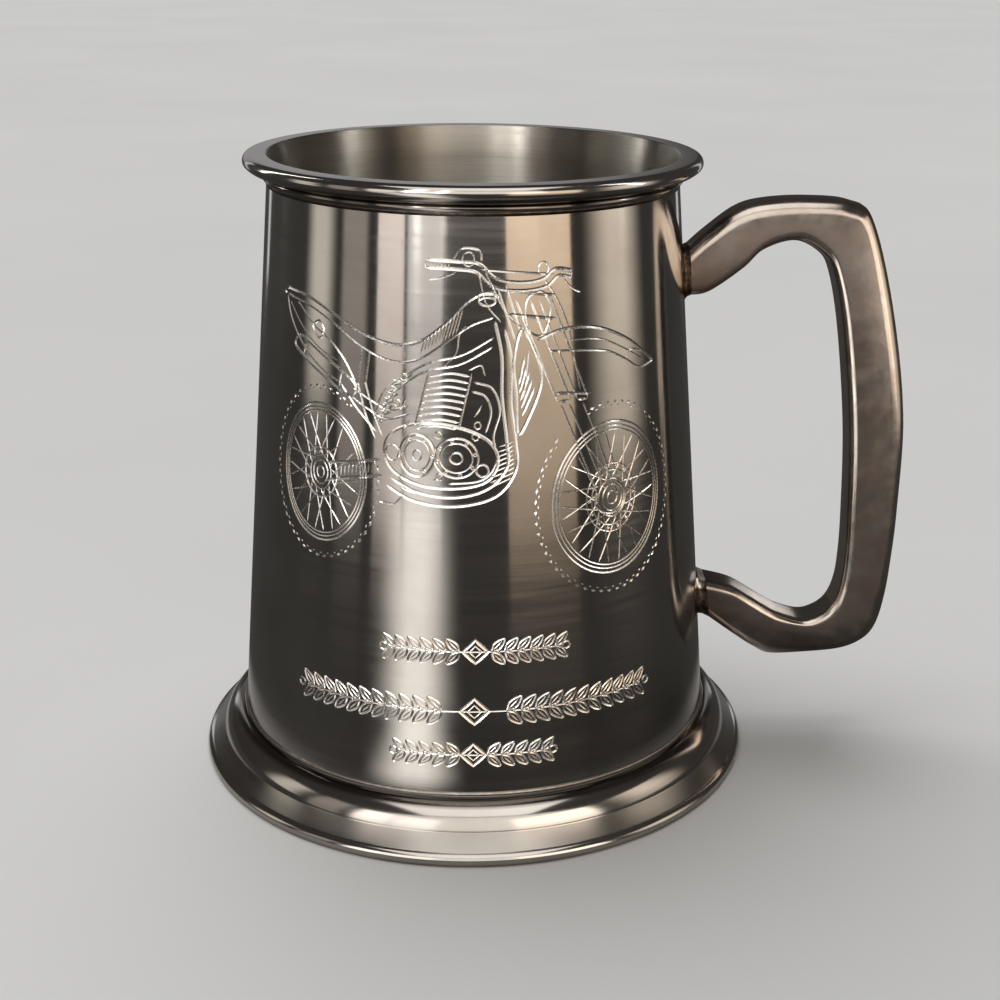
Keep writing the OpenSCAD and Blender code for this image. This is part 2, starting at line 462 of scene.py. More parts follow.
def brake_disc(centre, rx, ry):
    """A drilled disc beside the hub."""
    oval(centre, rx * 0.36, ry * 0.36, FINE)
    oval(centre, rx * 0.29, ry * 0.29, FINE)
    for i in range(14):
        hole = at(centre, rx, ry, 0.325, 360 * i / 14)
        oval(hole, 0.22, 0.22, 0.12)


def chain(a, b, pitch=0.9):
    """A run of links between two points."""
    length = math.dist(a, b)
    count = max(2, round(length / pitch))
    for i in range(count):
        t0, t1 = (i + 0.1) / count, (i + 0.75) / count
        stroke([tuple(a[k] + (b[k] - a[k]) * t for k in (0, 1)) for t in (t0, t1)])


REAR, REAR_SIZE = (-30.6, 67.6), (12.8, 15.6)
FRONT, FRONT_SIZE = (26.0, 63.6), (15.6, 17.4)


def draw_wheels():
    """Both wheels, the front brake disc and the rear sprocket."""
    wheel(REAR, *REAR_SIZE, 46, 26, hidden=((8, 52),))
    wheel(FRONT, *FRONT_SIZE, 56, 30, hidden=((108, 134),))
    brake_disc(FRONT, *FRONT_SIZE)
    oval(REAR, 4.0, 4.6)
    for i in range(22):
        tooth = at(REAR, 4.3, 4.9, 1.0, 360 * i / 22)
        stroke([tooth, at(REAR, 4.9, 5.5, 1.0, 360 * i / 22 + 5)], 0.14)


def draw_front_end():
    """Forks, mudguard, handlebar and number board."""
    for x0, x1, half in ((7.2, 15.0, LINE), (9.9, 17.6, LINE), (11.6, 19.0, FINE), (14.0, 21.2, LINE)):
        stroke([(x0, 100.6), (x1, 82.4)], half)
    for a, b in (((15.0, 82.4), (17.6, 82.4)), ((19.0, 82.4), (21.2, 82.4)), ((14.4, 84.0), (22.0, 83.2))):
        stroke([a, b], BOLD)
    stroke([(15.5, 82.0), (22.6, 65.4)])
    stroke([(17.2, 82.0), (24.6, 65.0)])
    curve([(20.0, 82.0), (23.0, 75.0), (25.8, 67.5), (27.4, 63.8)])
    curve([(22.6, 65.4), (22.4, 62.6), (25.0, 60.8), (28.2, 61.6), (28.8, 64.6), (27.0, 66.4)], BOLD)
    curve([(11.0, 93.4), (16.5, 95.0), (23.5, 94.6), (30.5, 91.8), (35.6, 88.4), (38.4, 86.4)], BOLD)
    curve([(13.4, 91.4), (19.5, 91.0), (25.5, 90.2), (30.0, 88.2), (34.0, 86.0), (38.4, 86.4)])
    curve([(17.0, 93.0), (24.0, 92.5), (30.0, 90.0), (35.4, 87.0)], FINE)
    curve([(30.0, 88.2), (32.0, 89.6), (35.6, 88.4)], FINE)
    for z, half in ((101.6, BOLD), (97.6, BOLD)):
        stroke([(5.6, z + 0.5), (15.2, z - 0.7)], half)
    stroke([(5.4, 103.0), (8.4, 94.0)])
    stroke([(4.0, 102.4), (7.2, 93.2)])
    curve([(-9.4, 107.2), (-4.0, 107.0), (0.6, 106.6), (3.6, 104.2), (8.2, 103.4), (12.4, 103.8),
           (15.0, 105.4), (18.6, 104.9)], BOLD)
    curve([(-9.6, 105.9), (-4.0, 105.7), (0.0, 105.2), (3.0, 102.8), (8.0, 102.0), (13.0, 102.5),
           (15.6, 104.2), (18.4, 103.7)], BOLD)
    stroke([(0.8, 105.7), (14.8, 104.5)])
    hatch((-9.5, 107.1), (-4.6, 107.0), (-4.7, 105.7), (-9.7, 105.9), 8)
    hatch((16.0, 105.2), (18.6, 104.9), (18.4, 103.7), (16.0, 104.1), 5)
    curve([(-4.2, 107.3), (-2.6, 109.2), (0.6, 108.8), (1.0, 106.9)])
    curve([(-3.6, 105.2), (-6.4, 104.2), (-8.8, 103.8)], FINE)
    curve([(16.6, 103.6), (18.4, 101.8), (20.2, 101.0)], FINE)
    oval((-1.4, 107.4), 1.1, 1.2, FINE)
    oval((12.6, 105.6), 1.0, 1.1, FINE)
    curve([(12.6, 104.0), (15.6, 99.6), (17.6, 94.6), (18.6, 89.0), (19.6, 84.0)], FINE)
    curve([(0.4, 105.6), (1.8, 100.0), (4.6, 96.6)], FINE)
    curve([(1.6, 105.4), (5.4, 98.4), (9.0, 95.2)], FINE)
    curve([(9.6, 100.8), (12.4, 101.6), (13.8, 98.8), (12.4, 94.4), (9.8, 95.0), (9.0, 98.0)], closed=True)


def draw_frame():
    """Tank, seat, tail, side panel and frame tubes."""
    curve([(4.4, 101.0), (1.8, 101.8), (-1.6, 100.2), (-5.4, 96.6), (-10.0, 93.4), (-15.0, 92.4),
           (-21.0, 93.6), (-28.0, 96.2), (-35.0, 98.4), (-42.6, 99.0)], BOLD)
    curve([(3.2, 97.6), (-1.0, 96.2), (-6.2, 92.8), (-11.0, 90.0), (-16.0, 89.6), (-21.6, 91.4),
           (-28.0, 94.6), (-34.4, 96.8), (-42.2, 97.9)])
    stroke([(-42.6, 99.0), (-43.4, 98.0), (-42.2, 97.9)])
    hatch((-2.0, 99.6), (-9.6, 93.4), (-10.6, 90.6), (-3.4, 94.8), 11)
    oval((2.0, 100.3), 1.5, 0.7)
    stroke([(0.5, 100.3), (0.5, 101.5), (3.5, 101.5), (3.5, 100.3)])
    curve([(-42.2, 97.6), (-40.6, 94.0), (-36.8, 90.0), (-31.6, 86.6), (-26.2, 84.4)])
    curve([(-41.0, 96.6), (-36.4, 92.6), (-31.6, 89.8), (-27.0, 88.2)], FINE)
    curve([(-38.4, 97.0), (-33.2, 93.6), (-29.0, 91.6), (-25.4, 88.6), (-22.6, 84.6)])
    curve([(-33.6, 93.4), (-31.8, 94.6), (-30.6, 93.0), (-31.8, 91.6)], closed=True)
    stroke([(-21.6, 91.4), (-22.4, 85.0), (-20.8, 80.0), (-18.6, 75.6)])
    stroke([(-20.0, 91.2), (-20.8, 85.2), (-19.2, 80.4), (-17.2, 76.2)])
    stroke([(-26.2, 84.4), (-22.6, 80.6), (-18.4, 76.8)])
    curve([(3.4, 97.0), (4.6, 91.0), (4.6, 84.0), (5.4, 76.0), (5.4, 71.6), (2.0, 67.8), (-4.0, 66.2),
           (-10.4, 66.8), (-15.6, 69.0)], BOLD)
    curve([(5.2, 95.6), (6.4, 90.0), (6.2, 83.0), (7.0, 76.0), (7.0, 71.0), (3.4, 66.4), (-3.8, 64.6),
           (-11.0, 65.2), (-16.4, 67.6)], BOLD)
    hatch((6.6, 76.4), (7.0, 69.6), (1.8, 67.4), (4.0, 75.6), 9)
    curve([(3.0, 92.6), (-3.0, 89.6), (-9.6, 88.0), (-15.8, 83.4), (-17.6, 78.0)])
    curve([(3.2, 94.2), (-2.6, 91.2), (-9.2, 89.4), (-16.6, 84.6), (-19.0, 79.0)])
    curve([(8.4, 95.4), (11.2, 90.6), (11.8, 85.8), (9.2, 79.6), (7.4, 77.4), (7.2, 84.0),
           (6.8, 90.0)], BOLD, True)
    stroke([(9.6, 92.0), (8.4, 82.0)], FINE)
    hatch((8.6, 91.6), (10.8, 84.6), (8.2, 79.6), (7.6, 86.6), 5, LINE)


def draw_engine():
    """Cylinder, crankcase, exhaust, shock absorber and small fittings."""
    for i in range(9):
        z = 78.8 + 1.15 * i
        wide = 3.9 - 0.10 * abs(i - 4)
        curve([(-7.4 + 0.30 * i - wide, z - 0.7), (-7.2 + 0.30 * i, z), (-7.0 + 0.30 * i + wide, z - 0.5)])
    stroke([(-11.2, 78.0), (-8.6, 88.0)])
    stroke([(-3.2, 78.2), (-0.8, 88.2)])
    curve([(-14.6, 77.6), (-9.0, 79.2), (-2.4, 78.4), (2.4, 76.0), (3.8, 72.4), (1.6, 69.0), (-4.0, 67.8),
           (-10.4, 68.2), (-15.4, 70.6), (-16.8, 74.4)], BOLD, True)
    for centre, rx, ry, half in (((-10.6, 73.4), 3.2, 3.7, BOLD), ((-10.6, 73.4), 2.3, 2.7, FINE),
                                 ((-3.6, 73.2), 3.9, 3.5, LINE), ((-3.6, 73.2), 2.9, 2.6, FINE),
                                 ((-3.6, 73.2), 1.1, 1.0, LINE), ((1.0, 71.0), 1.1, 1.1, LINE),
                                 ((-15.2, 73.6), 1.2, 1.4, LINE), ((-10.6, 73.4), 0.8, 1.0, FINE)):
        oval(centre, rx, ry, half)
    for i in range(8):
        bolt = at((-3.6, 73.2), 3.4, 3.05, 1.0, 45 * i + 12)
        oval(bolt, 0.28, 0.28, 0.13)
    for i in range(6):
        bolt = at((-10.6, 73.4), 2.75, 3.2, 1.0, 60 * i)
        oval(bolt, 0.26, 0.26, 0.13)
    curve([(-0.6, 86.6), (2.8, 85.4), (4.2, 81.6), (3.0, 77.0), (3.6, 72.8), (1.0, 69.4), (-5.0, 68.6)])
    curve([(-0.9, 85.0), (1.6, 84.0), (2.6, 81.4), (1.6, 77.6)])
    curve([(-12.0, 80.6), (-16.4, 79.4), (-20.4, 80.8), (-24.0, 82.6)])
    curve([(-12.2, 82.0), (-16.0, 81.0), (-19.8, 82.4), (-23.4, 84.0)])
    curve([(-24.0, 82.4), (-30.6, 85.2), (-38.0, 88.6), (-38.6, 90.2), (-36.8, 91.2), (-30.0, 88.4),
           (-23.2, 85.0)], BOLD, True)
    stroke([(-26.6, 83.6), (-26.0, 86.4)])
    stroke([(-36.2, 87.8), (-35.2, 90.6)])
    for i in range(7):
        t = i / 7
        x, z = -17.4 + 3.6 * t, 78.4 + 7.8 * t
        stroke([(x - 1.5, z + 0.2), (x + 1.3, z + 1.0)])
        stroke([(x + 1.3, z + 1.0), (x - 1.1, z + 1.3)], FINE)
    stroke([(-17.4, 72.0), (-24.0, 70.6), (-29.4, 69.6)], BOLD)
    stroke([(-17.0, 69.2), (-24.0, 67.8), (-29.6, 66.2)], BOLD)
    hatch((-18.6, 71.4), (-26.0, 69.8), (-26.2, 67.6), (-18.8, 69.4), 9)
    chain((-16.4, 75.8), (-30.0, 72.8))
    chain((-16.6, 67.4), (-30.2, 62.6))
    curve([(-6.0, 89.0), (-3.6, 91.6), (-3.0, 94.8), (-1.8, 96.2)], FINE)
    curve([(-1.4, 88.6), (0.8, 89.4), (1.6, 87.6)], FINE)
    for a, b in (((-14.8, 84.4), (-11.0, 88.2)), ((-14.0, 80.6), (-12.6, 83.8)), ((-0.4, 80.4), (1.0, 82.6)),
                 ((-6.0, 70.0), (-8.0, 68.8)), ((-13.6, 76.8), (-12.0, 79.6))):
        stroke([a, b])
    for centre in ((-13.2, 87.0), (-14.4, 82.4), (0.2, 79.0), (-6.8, 77.2), (-6.6, 69.8), (-0.2, 77.0)):
        oval(centre, 0.6, 0.65, FINE)
    curve([(-14.0, 70.0), (-13.2, 67.4), (-10.0, 66.6)])
    stroke([(-12.6, 66.6), (-14.8, 64.2), (-17.8, 64.4)])


def leaf(base, length, width, degrees):
    """Two curved cuts that meet at both ends, with a midrib."""
    turn_by = math.radians(degrees)

    def place(along, across):
        return (base[0] + along * math.cos(turn_by) - across * math.sin(turn_by),
                base[1] + along * math.sin(turn_by) + across * math.cos(turn_by))

    for side in (1, -1):
        curve([place(0, 0), place(length * 0.35, side * width * 0.5),
               place(length * 0.7, side * width * 0.38), place(length, 0)], per_span=3)
    stroke([place(length * 0.15, 0), place(length * 0.8, 0)], FINE)


def garland(left, right, level, height, pairs):
    """A stem with pairs of leaves that turn outwards from a lozenge in the middle."""
    middle, half_width = (left + right) / 2, (right - left) / 2
    curve([(x, level) for x in np.linspace(left + 2, right - 2, 13)], FINE)
    for side in (-1, 1):
        heading = 0 if side > 0 else 180
        for i in range(pairs):
            x = middle + side * (0.16 + 0.80 * i / pairs) * half_width
            for up in (1, -1):
                leaf((x, level), height * 0.66, height * 0.25, heading + side * up * 46)
            oval((x + side * half_width * 0.40 / pairs, level), 0.36, 0.36, FINE)
    for r, half in ((height * 0.42, BOLD), (height * 0.42 / 2, FINE)):
        lozenge = [(middle - r, level), (middle, level + r), (middle + r, level), (middle, level - r)]
        stroke(lozenge, half, closed=True)
    for side in (-1, 1):
        oval((middle + side * half_width - side * 0.8, level), 0.7, 0.7)


def draw_all():
    draw_wheels()
    draw_front_end()
    draw_frame()
    draw_engine()
    garland(-17.2, 16.6, 37.8, 5.2, 6)
    garland(-34.6, 33.6, 26.4, 5.8, 11)
    garland(-15.2, 13.8, 18.0, 5.0, 5)


def cut_outline(path, half, closed):
    """Left side, middle and right side of a cut, which narrows to a point at each open end."""
    p = np.array(path)
    if closed:
        along = np.roll(p, -1, axis=0) - np.roll(p, 1, axis=0)
    else:
        along = np.gradient(p, axis=0)
    along /= np.maximum(np.linalg.norm(along, axis=1, keepdims=True), 1e-9)
    across = np.stack([-along[:, 1], along[:, 0]], axis=1)
    width = np.full(len(p), half)
    if not closed:
        width[0] = width[-1] = 0.0
    return p + across * width[:, None], p, p - across * width[:, None], width


def cut_mesh():
    """The drum's outside, unrolled and triangulated round every cut, and the rule for a cut's depth."""
    half_turn = math.pi * UNROLL_R
    columns, rows, spacing = 180, 24, 0.1
    points = [(half_turn * (2 * i / columns - 1), DRUM_BOTTOM + (DRUM_TOP - DRUM_BOTTOM) * j / rows)
              for j in range(rows + 1) for i in range(columns + 1)]
    edges, middle = [], []
    for path, half, closed in strokes:
        left, centre, right, width = cut_outline(path, half, closed)
        count = len(centre)
        lines = []
        for side in (left, centre, right):
            ids = []
            for k in range(count):
                if width[k] == 0 and side is not centre:
                    ids.append(None)
                    continue
                ids.append(len(points))
                points.append(tuple(side[k]))
            lines.append(ids)
        for ids in lines:
            ids = [c if i is None else i for i, c in zip(ids, lines[1])]
            edges += list(zip(ids, ids[1:])) + ([(ids[-1], ids[0])] if closed else [])
        for k in range(count if closed else count - 1):
            n = (k + 1) % count
            ahead, wider = centre[n] - centre[k], width[n] - width[k]
            for t in np.arange(0, 1, spacing / max(np.linalg.norm(ahead), spacing)):
                middle.append((*(centre[k] + ahead * t), width[k] + wider * t))
        middle.append((*centre[-1], width[-1]))
    flat, _, triangles = delaunay_2d_cdt([Vector(p) for p in points], edges, [], 0, 1e-5, False)[:3]
    tree = kdtree.KDTree(len(middle))
    for i, (x, y, _) in enumerate(middle):
        tree.insert((x, y, 0), i)
    tree.balance()

    def depth(x, y):
        found = tree.find_range((x, y, 0), BOLD)
        return max([CUT_SLOPE * (middle[i][2] - d) for _, i, d in found] + [0.0])

    return flat, triangles, depth


def wrap(x, z, depth=0.0):
    """A point of the unrolled drum, cut in by depth, back on the cone."""
    angle, radius = x / UNROLL_R, outside(z) - depth
    return Vector((radius * math.sin(angle), -radius * math.cos(angle), z))


def cone_normal(x):
    """Which way the drum's outside faces at a distance round it."""
    angle = x / UNROLL_R
    return Vector((math.sin(angle), -math.cos(angle), DRUM_TAPER)).normalized()


def outer_shell():
    """The engraved outside: points, triangles, finishes, corner normals, and the bottom and top rings."""
    flat, triangles, depth = cut_mesh()
    close = 1e-4
    seam = math.pi * UNROLL_R - close
    welded = {round(p.y, 4): i for i, p in enumerate(flat) if p.x < -seam}
    index = [welded[round(p.y, 4)] if p.x > seam else i for i, p in enumerate(flat)]
    verts = [wrap(p.x, p.y, depth(p.x, p.y)) for p in flat]
    faces, slots, normals = [], [], []
    for triangle in triangles:
        corners = [index[i] for i in triangle]
        x, y = (sum(flat[i][k] for i in triangle) / 3 for k in (0, 1))
        is_cut = depth(x, y) > 0.004
        faces.append(corners)
        slots.append(1 if is_cut else 0)
        a, b, c = (verts[i] for i in corners)
        face_normal = (b - a).cross(c - a).normalized()
        normals += [face_normal if is_cut else cone_normal(flat[i].x) for i in triangle]
    rings = []
    for z in (DRUM_BOTTOM, DRUM_TOP):
        edge = sorted((p.x, index[i]) for i, p in enumerate(flat) if abs(p.y - z) < close)
        rings.append([i for _, i in edge][:-1])
    return verts, faces, slots, normals, *rings


def radial(v):
    return Vector((v.x, v.y, 0)).normalized()


def bore_slope(z):
    """How fast the bore widens with height."""
    top, step = min(z + 0.01, DRUM_TOP), 0.02
    return (bore(top) - bore(top - step)) / step


def make_drum():
    """The drum with its engraving cut into it, brushed inside."""
    draw_all()
    verts, faces, slots, normals, bottom_ring, top_ring = outer_shell()
    count = len(top_ring)
    bands = [(top_ring, None)]
    for z in [DRUM_TOP + (FLARE_Z - DRUM_TOP) * i / 8 for i in range(9)] + [DRUM_BOTTOM]:
        bands.append(([len(verts) + k for k in range(count)], bore_slope(z)))
        verts += [radial(verts[i]) * bore(z) + Vector((0, 0, z)) for i in top_ring]
    bands.append((bottom_ring, None))
    for (ring_a, slope_a), (ring_b, slope_b) in zip(bands, bands[1:]):
        for k in range(count):
            n = (k + 1) % count
            face = (ring_a[k], ring_a[n], ring_b[n], ring_b[k])
            faces.append(face)
            slots.append(2)
            if slope_a is None or slope_b is None:
                a, b, _, d = (verts[i] for i in face)
                normals += [(b - a).cross(d - a).normalized()] * 4
            else:
                slopes = (slope_a, slope_a, slope_b, slope_b)
                normals += [(Vector((0, 0, slope)) - radial(verts[i])).normalized()
                            for i, slope in zip(face, slopes)]
    piece = make_piece("drum_body", verts, faces, [POLISHED, CUT, BRUSHED], slots)
    piece.data.normals_split_custom_set(normals)
    hand_over(piece, "drum")


# ------------------------------ turned pieces
LIP_R, NOSE_R, RIM_BEAD_R = 0.35, 1.3, 0.65
SHOULDER_R, FOOT_WALL, FOOT_LAND = 5.9, 1.3, 2.2
SEAM_SIZE, FLOOR_SEAM = 0.5, 1.4


def on_arc(centre, radius, degrees):
    return arc(centre, radius, degrees, degrees, 1)[0]


def rim_bead():
    """Centre of the small bead under the rim."""
    return (outside(RIM_FOOT) + 0.04, RIM_FOOT + 0.85)


def make_rim():
    """Lip, rounded nose, cove and small bead, with a rebate that takes the drum's top edge."""
    lip_z = CUP_H - LIP_R
    nose = (RIM_R - NOSE_R, CUP_H - NOSE_R)
    levels = [DRUM_TOP + (lip_z - DRUM_TOP) * i / 8 for i in range(9)]
    profile = [(bore(z), z) for z in levels]
    profile += arc((bore(lip_z) + LIP_R, lip_z), LIP_R, 165, 90, 8)
    inner = set(profile)
    profile += arc(nose, NOSE_R, 90, -28, 28)
    cove = (RIM_R - 1, CUP_H - 3)
    profile += bow(on_arc(nose, NOSE_R, -28), cove, on_arc(rim_bead(), RIM_BEAD_R, 60), 20)[1:]
    profile += arc(rim_bead(), RIM_BEAD_R, 50, -60, 12)
    profile += [(outside(RIM_FOOT), RIM_FOOT), (outside(DRUM_TOP), DRUM_TOP)]
    rim = turn("rim", profile, [RIM_POLISH, BRUSHED], lambda a, b: 1 if a in inner and b in inner else 0)
    crease(rim, 32)
    hand_over(rim, "rim_ring")


def collar():
    """The top outer corner of the foot's collar."""
    return (outside(DRUM_BOTTOM) + 0.32, FOOT_H - 0.2)


def make_foot():
    """Collar, rounded shoulder, nearly flat flange and rolled lip, hollow underneath."""
    waist, under = outside(DRUM_BOTTOM), DRUM_BOTTOM - FOOT_WALL
    corner = (waist + 4.6, 4.95)
    centre = tuple(2 * c - p for c, p in zip(corner, on_arc(corner, SHOULDER_R, 14)))
    end = (FOOT_R - 1.2, 2.35)
    land = FOOT_R - 0.3
    heel = land - FOOT_LAND
    profile = [(waist, DRUM_BOTTOM), (outside(FOOT_H), FOOT_H), collar(), (collar()[0], DRUM_BOTTOM)]
    profile += arc(centre, SHOULDER_R, 72, 14, 40)
    flange = bow(corner, (corner[0] + 1.05, 3.55), end, 20)
    profile += flange[1:]
    flange[0] = profile[-len(flange)]
    profile += bow(end, (FOOT_R + 0.6, 1.7), (land, 0), 24)[1:]
    hollow = bow((heel, 1.1), (heel - 1.6, 2.9), on_arc(centre, SHOULDER_R - FOOT_WALL, 15), 12)
    hollow += arc(centre, SHOULDER_R - FOOT_WALL, 20, 68, 12)
    hollow += [(waist - 0.2, under), (waist - 3.1, under)]
    profile += [(heel, 0)] + hollow + [(waist - 3.1, DRUM_BOTTOM)]

    def finish_of(a, b):
        return 1 if a in hollow and b in hollow else 2 if a in flange and b in flange else 0

    foot = turn("foot_skirt", profile, [RIM_POLISH, BRUSHED, SATIN], finish_of, turns=360)
    crease(foot, 24)
    hand_over(foot, "foot")


def make_floor():
    """A disc of rings from the middle of its top, round the edge, to the middle of its bottom."""
    bottom, hub = floor_low.z, 0.4
    angles = [2 * math.pi * i / TURNS for i in range(TURNS)]
    outline = ((hub, FLOOR_TOP), (inside(FLOOR_TOP) - 0.01, FLOOR_TOP), (inside(bottom) - 0.01, bottom),
               (hub, bottom))
    rings = [[(r * math.cos(a), r * math.sin(a), z) for a in angles] for r, z in outline]
    faces = [tuple(reversed(face)) for face in loft(rings)]
    faces += [tuple(range(TURNS)), tuple(3 * TURNS + i for i in reversed(range(TURNS)))]
    floor_piece = make_piece("cup_floor", [point for ring in rings for point in ring], faces, [BRUSHED])
    crease(floor_piece, 30)
    hand_over(floor_piece, "floor_disc")


def make_seams():
    """The soldered seams that run round the cup."""
    for name, node, z, edge, up, metal in (
            ("rim_seam", "rim_solder", RIM_FOOT, on_arc(rim_bead(), RIM_BEAD_R, -60), -1, RIM_SEAM_SHADED),
            ("foot_seam", "foot_solder", FOOT_H, collar(), 1, SEAM)):
        corner, far = (outside(z), z), z + up * SEAM_SIZE
        shore = tuple(c + 0.85 * (e - c) for c, e in zip(corner, edge))
        middle = (0.4 * shore[0] + 0.6 * outside(far) - 0.02, 0.6 * shore[1] + 0.4 * far)
        seam = turn(name, [corner, shore, middle, (outside(far), far)][::up], [metal])
        hand_over(seam, node)
    top = FLOOR_TOP + FLOOR_SEAM
    edge = inside(FLOOR_TOP)
    profile = [(edge, FLOOR_TOP)] + bow(
        (inside(top), top), (edge - 0.3, FLOOR_TOP + 0.3), (edge - FLOOR_SEAM, FLOOR_TOP), 8)
    floor_seam = turn("floor_seam", profile, [SEAM])
    hand_over(floor_seam, "floor_solder")


# ------------------------------ handle
# Stations along the bar, each finger-side reach and level, then outer reach and level.
STATIONS = [
    (40.5, 93.0, 39.8, 101.4), (45.0, 93.8, 44.4, 105.6), (51.4, 98.3, 50.1, 109.8),
    (55.3, 102.0, 55.7, 111.3), (61.4, 103.7, 63.9, 111.7), (66.6, 100.9, 71.8, 110.9),
    (69.2, 96.6, 76.3, 107.4), (71.8, 84.9, 81.5, 90.4), (74.3, 65.2, 85.3, 69.0), (75.2, 46.5, 85.7, 49.0),
    (75.2, 37.0, 85.3, 37.6), (74.6, 31.6, 84.6, 29.6), (73.1, 27.9, 83.2, 23.4), (70.6, 25.8, 80.6, 20.0),
    (67.3, 25.0, 75.6, 17.9), (62.6, 26.4, 66.2, 17.0), (59.4, 28.2, 60.9, 17.0), (56.6, 30.0, 57.9, 18.4),
    (52.2, 32.5, 54.4, 20.7), (45.2, 34.3, 45.8, 27.0)]
HANDLE_W = handle_high.y - handle_low.y
INNER_ROUND, OUTER_ROUND = 2.1, 2.9
SPREAD = 0.9
SPANS = 12
ROUND_STEPS = 10


def bar_section(depth, grow=0.0):
    """The bar's section as (depth from the finger side, distance across) points."""
    half, low, top = HANDLE_W / 2 + grow, -grow, depth + grow
    inner, outer = INNER_ROUND + grow, OUTER_ROUND + grow
    quarter = [math.radians(90 * i / ROUND_STEPS) for i in range(ROUND_STEPS + 1)]
    points = [(low + inner * (1 - math.cos(t)), half - inner * (1 - math.sin(t))) for t in quarter]
    points += [(top - outer * (1 - math.sin(t)), half - outer * (1 - math.cos(t))) for t in quarter]
    points += [(top - outer * (1 - math.cos(t)), outer * (1 - math.sin(t)) - half) for t in quarter]
    points += [(low + inner * (1 - math.sin(t)), inner * (1 - math.cos(t)) - half) for t in quarter]
    return points


def bar_ring(station, grow=0.0):
    """The section placed between a station's finger-side and outer points."""
    low, top = station[:2], station[2:]
    depth = np.linalg.norm(top - low)
    ring = []
    for along, across in bar_section(depth, grow):
        p = low + (top - low) * along / depth
        ring.append(Vector((p[0], across, p[1])))
    return ring


def on_drum(ring):
    """The ring moved along X on to the drum."""
    return [Vector((math.sqrt(outside(p.z) ** 2 - p.y ** 2), p.y, p.z)) for p in ring]


def make_handle():
    """The bar swept through its stations, both ends shaped to the drum. Returns its path."""
    path = smooth_path(STATIONS, SPANS)
    rings = [bar_ring(s) for s in path]
    rings[0], rings[-1] = on_drum(rings[0]), on_drum(rings[-1])
    n = len(rings[0])
    faces = loft(rings)
    faces += [tuple(range(n - 1, -1, -1)), tuple((len(rings) - 1) * n + i for i in range(n))]
    handle = make_piece("handle_bar", [p for r in rings for p in r], faces, [CAST])
    crease(handle, 40)
    hand_over(handle, "handle")
    return path


def make_handle_solder(name, node, end, beside):
    """Solder drawn up round one end of the bar, slightly lumpy."""
    outer, middle = on_drum(bar_ring(end, SPREAD)), []
    inner, top = on_drum(bar_ring(end)), bar_ring(beside, 0.02)
    for i, (a, b, c) in enumerate(zip(outer, top, inner)):
        lump = 0.32 + 0.10 * math.sin(2.1 * i) * math.cos(0.7 * i + 1)
        middle.append((a + b) * 0.5 * (1 - lump) + c * lump)
    rings = [inner, outer, middle, top]
    faces = loft(rings, closed_path=True)
    if end[0] > 44:
        faces = [tuple(reversed(f)) for f in faces]
    piece = make_piece(name, [p for r in rings for p in r], faces, [SOLDER])
    hand_over(piece, node)


# ------------------------------ stage
CAMERA_AT = (-0.0021, -0.3091, 0.1624)
HEADING, PITCH, ROLL = math.radians(3.0), math.radians(19.56), math.radians(0.73)


def make_camera():
    """A view from a little above the rim, close to the cup."""
    camera = add_object("camera", bpy.data.cameras.new("camera"))
    level = math.cos(PITCH)
    ahead = Vector((math.sin(HEADING) * level, math.cos(HEADING) * level, -math.sin(PITCH)))
    right = Vector((math.cos(HEADING), -math.sin(HEADING), 0))
    up = right.cross(ahead)
    x_axis = right * math.cos(ROLL) + up * math.sin(ROLL)
    y_axis = up * math.cos(ROLL) - right * math.sin(ROLL)
    turned = Matrix((x_axis, y_axis, -ahead)).transposed().to_4x4()
    camera.matrix_world = Matrix.Translation(CAMERA_AT) @ turned
    camera.data.sensor_width = 36
    camera.data.lens = 58.67
    camera.data.shift_x, camera.data.shift_y = -0.045, -0.010
    camera.data.clip_start = 0.01
    bpy.context.scene.camera = camera


def make_floor_stage():
    """A wide pale floor. Away from the foot it shines back more dimly than it looks."""
    s = Shader("pale_floor", metallic=0.0, Roughness=0.8, Specular_IOR_Level=0.1)
    pale = s.ramp(s.noise(4, 3), [(0.3, (0.72, 0.72, 0.71)), (0.7, (0.76, 0.76, 0.75))])
    bounce = s.node("LightPath")
    dim = s.blend(s.near((0, 0, 0), 0.058, 0.072), (0.06, 0.056, 0.052), (0.50, 0.48, 0.46))
    s.finish(s.blend(bounce.outputs["Is Glossy Ray"], pale, dim))
    reach = 14000
    corners = [(-reach, -reach, 0), (reach, -reach, 0), (reach, reach, 0), (-reach, reach, 0)]
    floor = make_piece("floor", corners, [(0, 1, 2, 3)], [s.material])
    return floor


def share_light(lamp, keep_off, only):
    """The lamp lights everything but the pieces it keeps off, or lights these only."""
    if keep_off or only:
        flagged = bpy.data.collections.new(lamp.name + "_flags")
        for piece in (*keep_off, *only):
            flagged.objects.link(piece)
        for entry in flagged.collection_objects:
            entry.light_linking.link_state = "INCLUDE" if only else "EXCLUDE"
        lamp.light_linking.receiver_collection = flagged


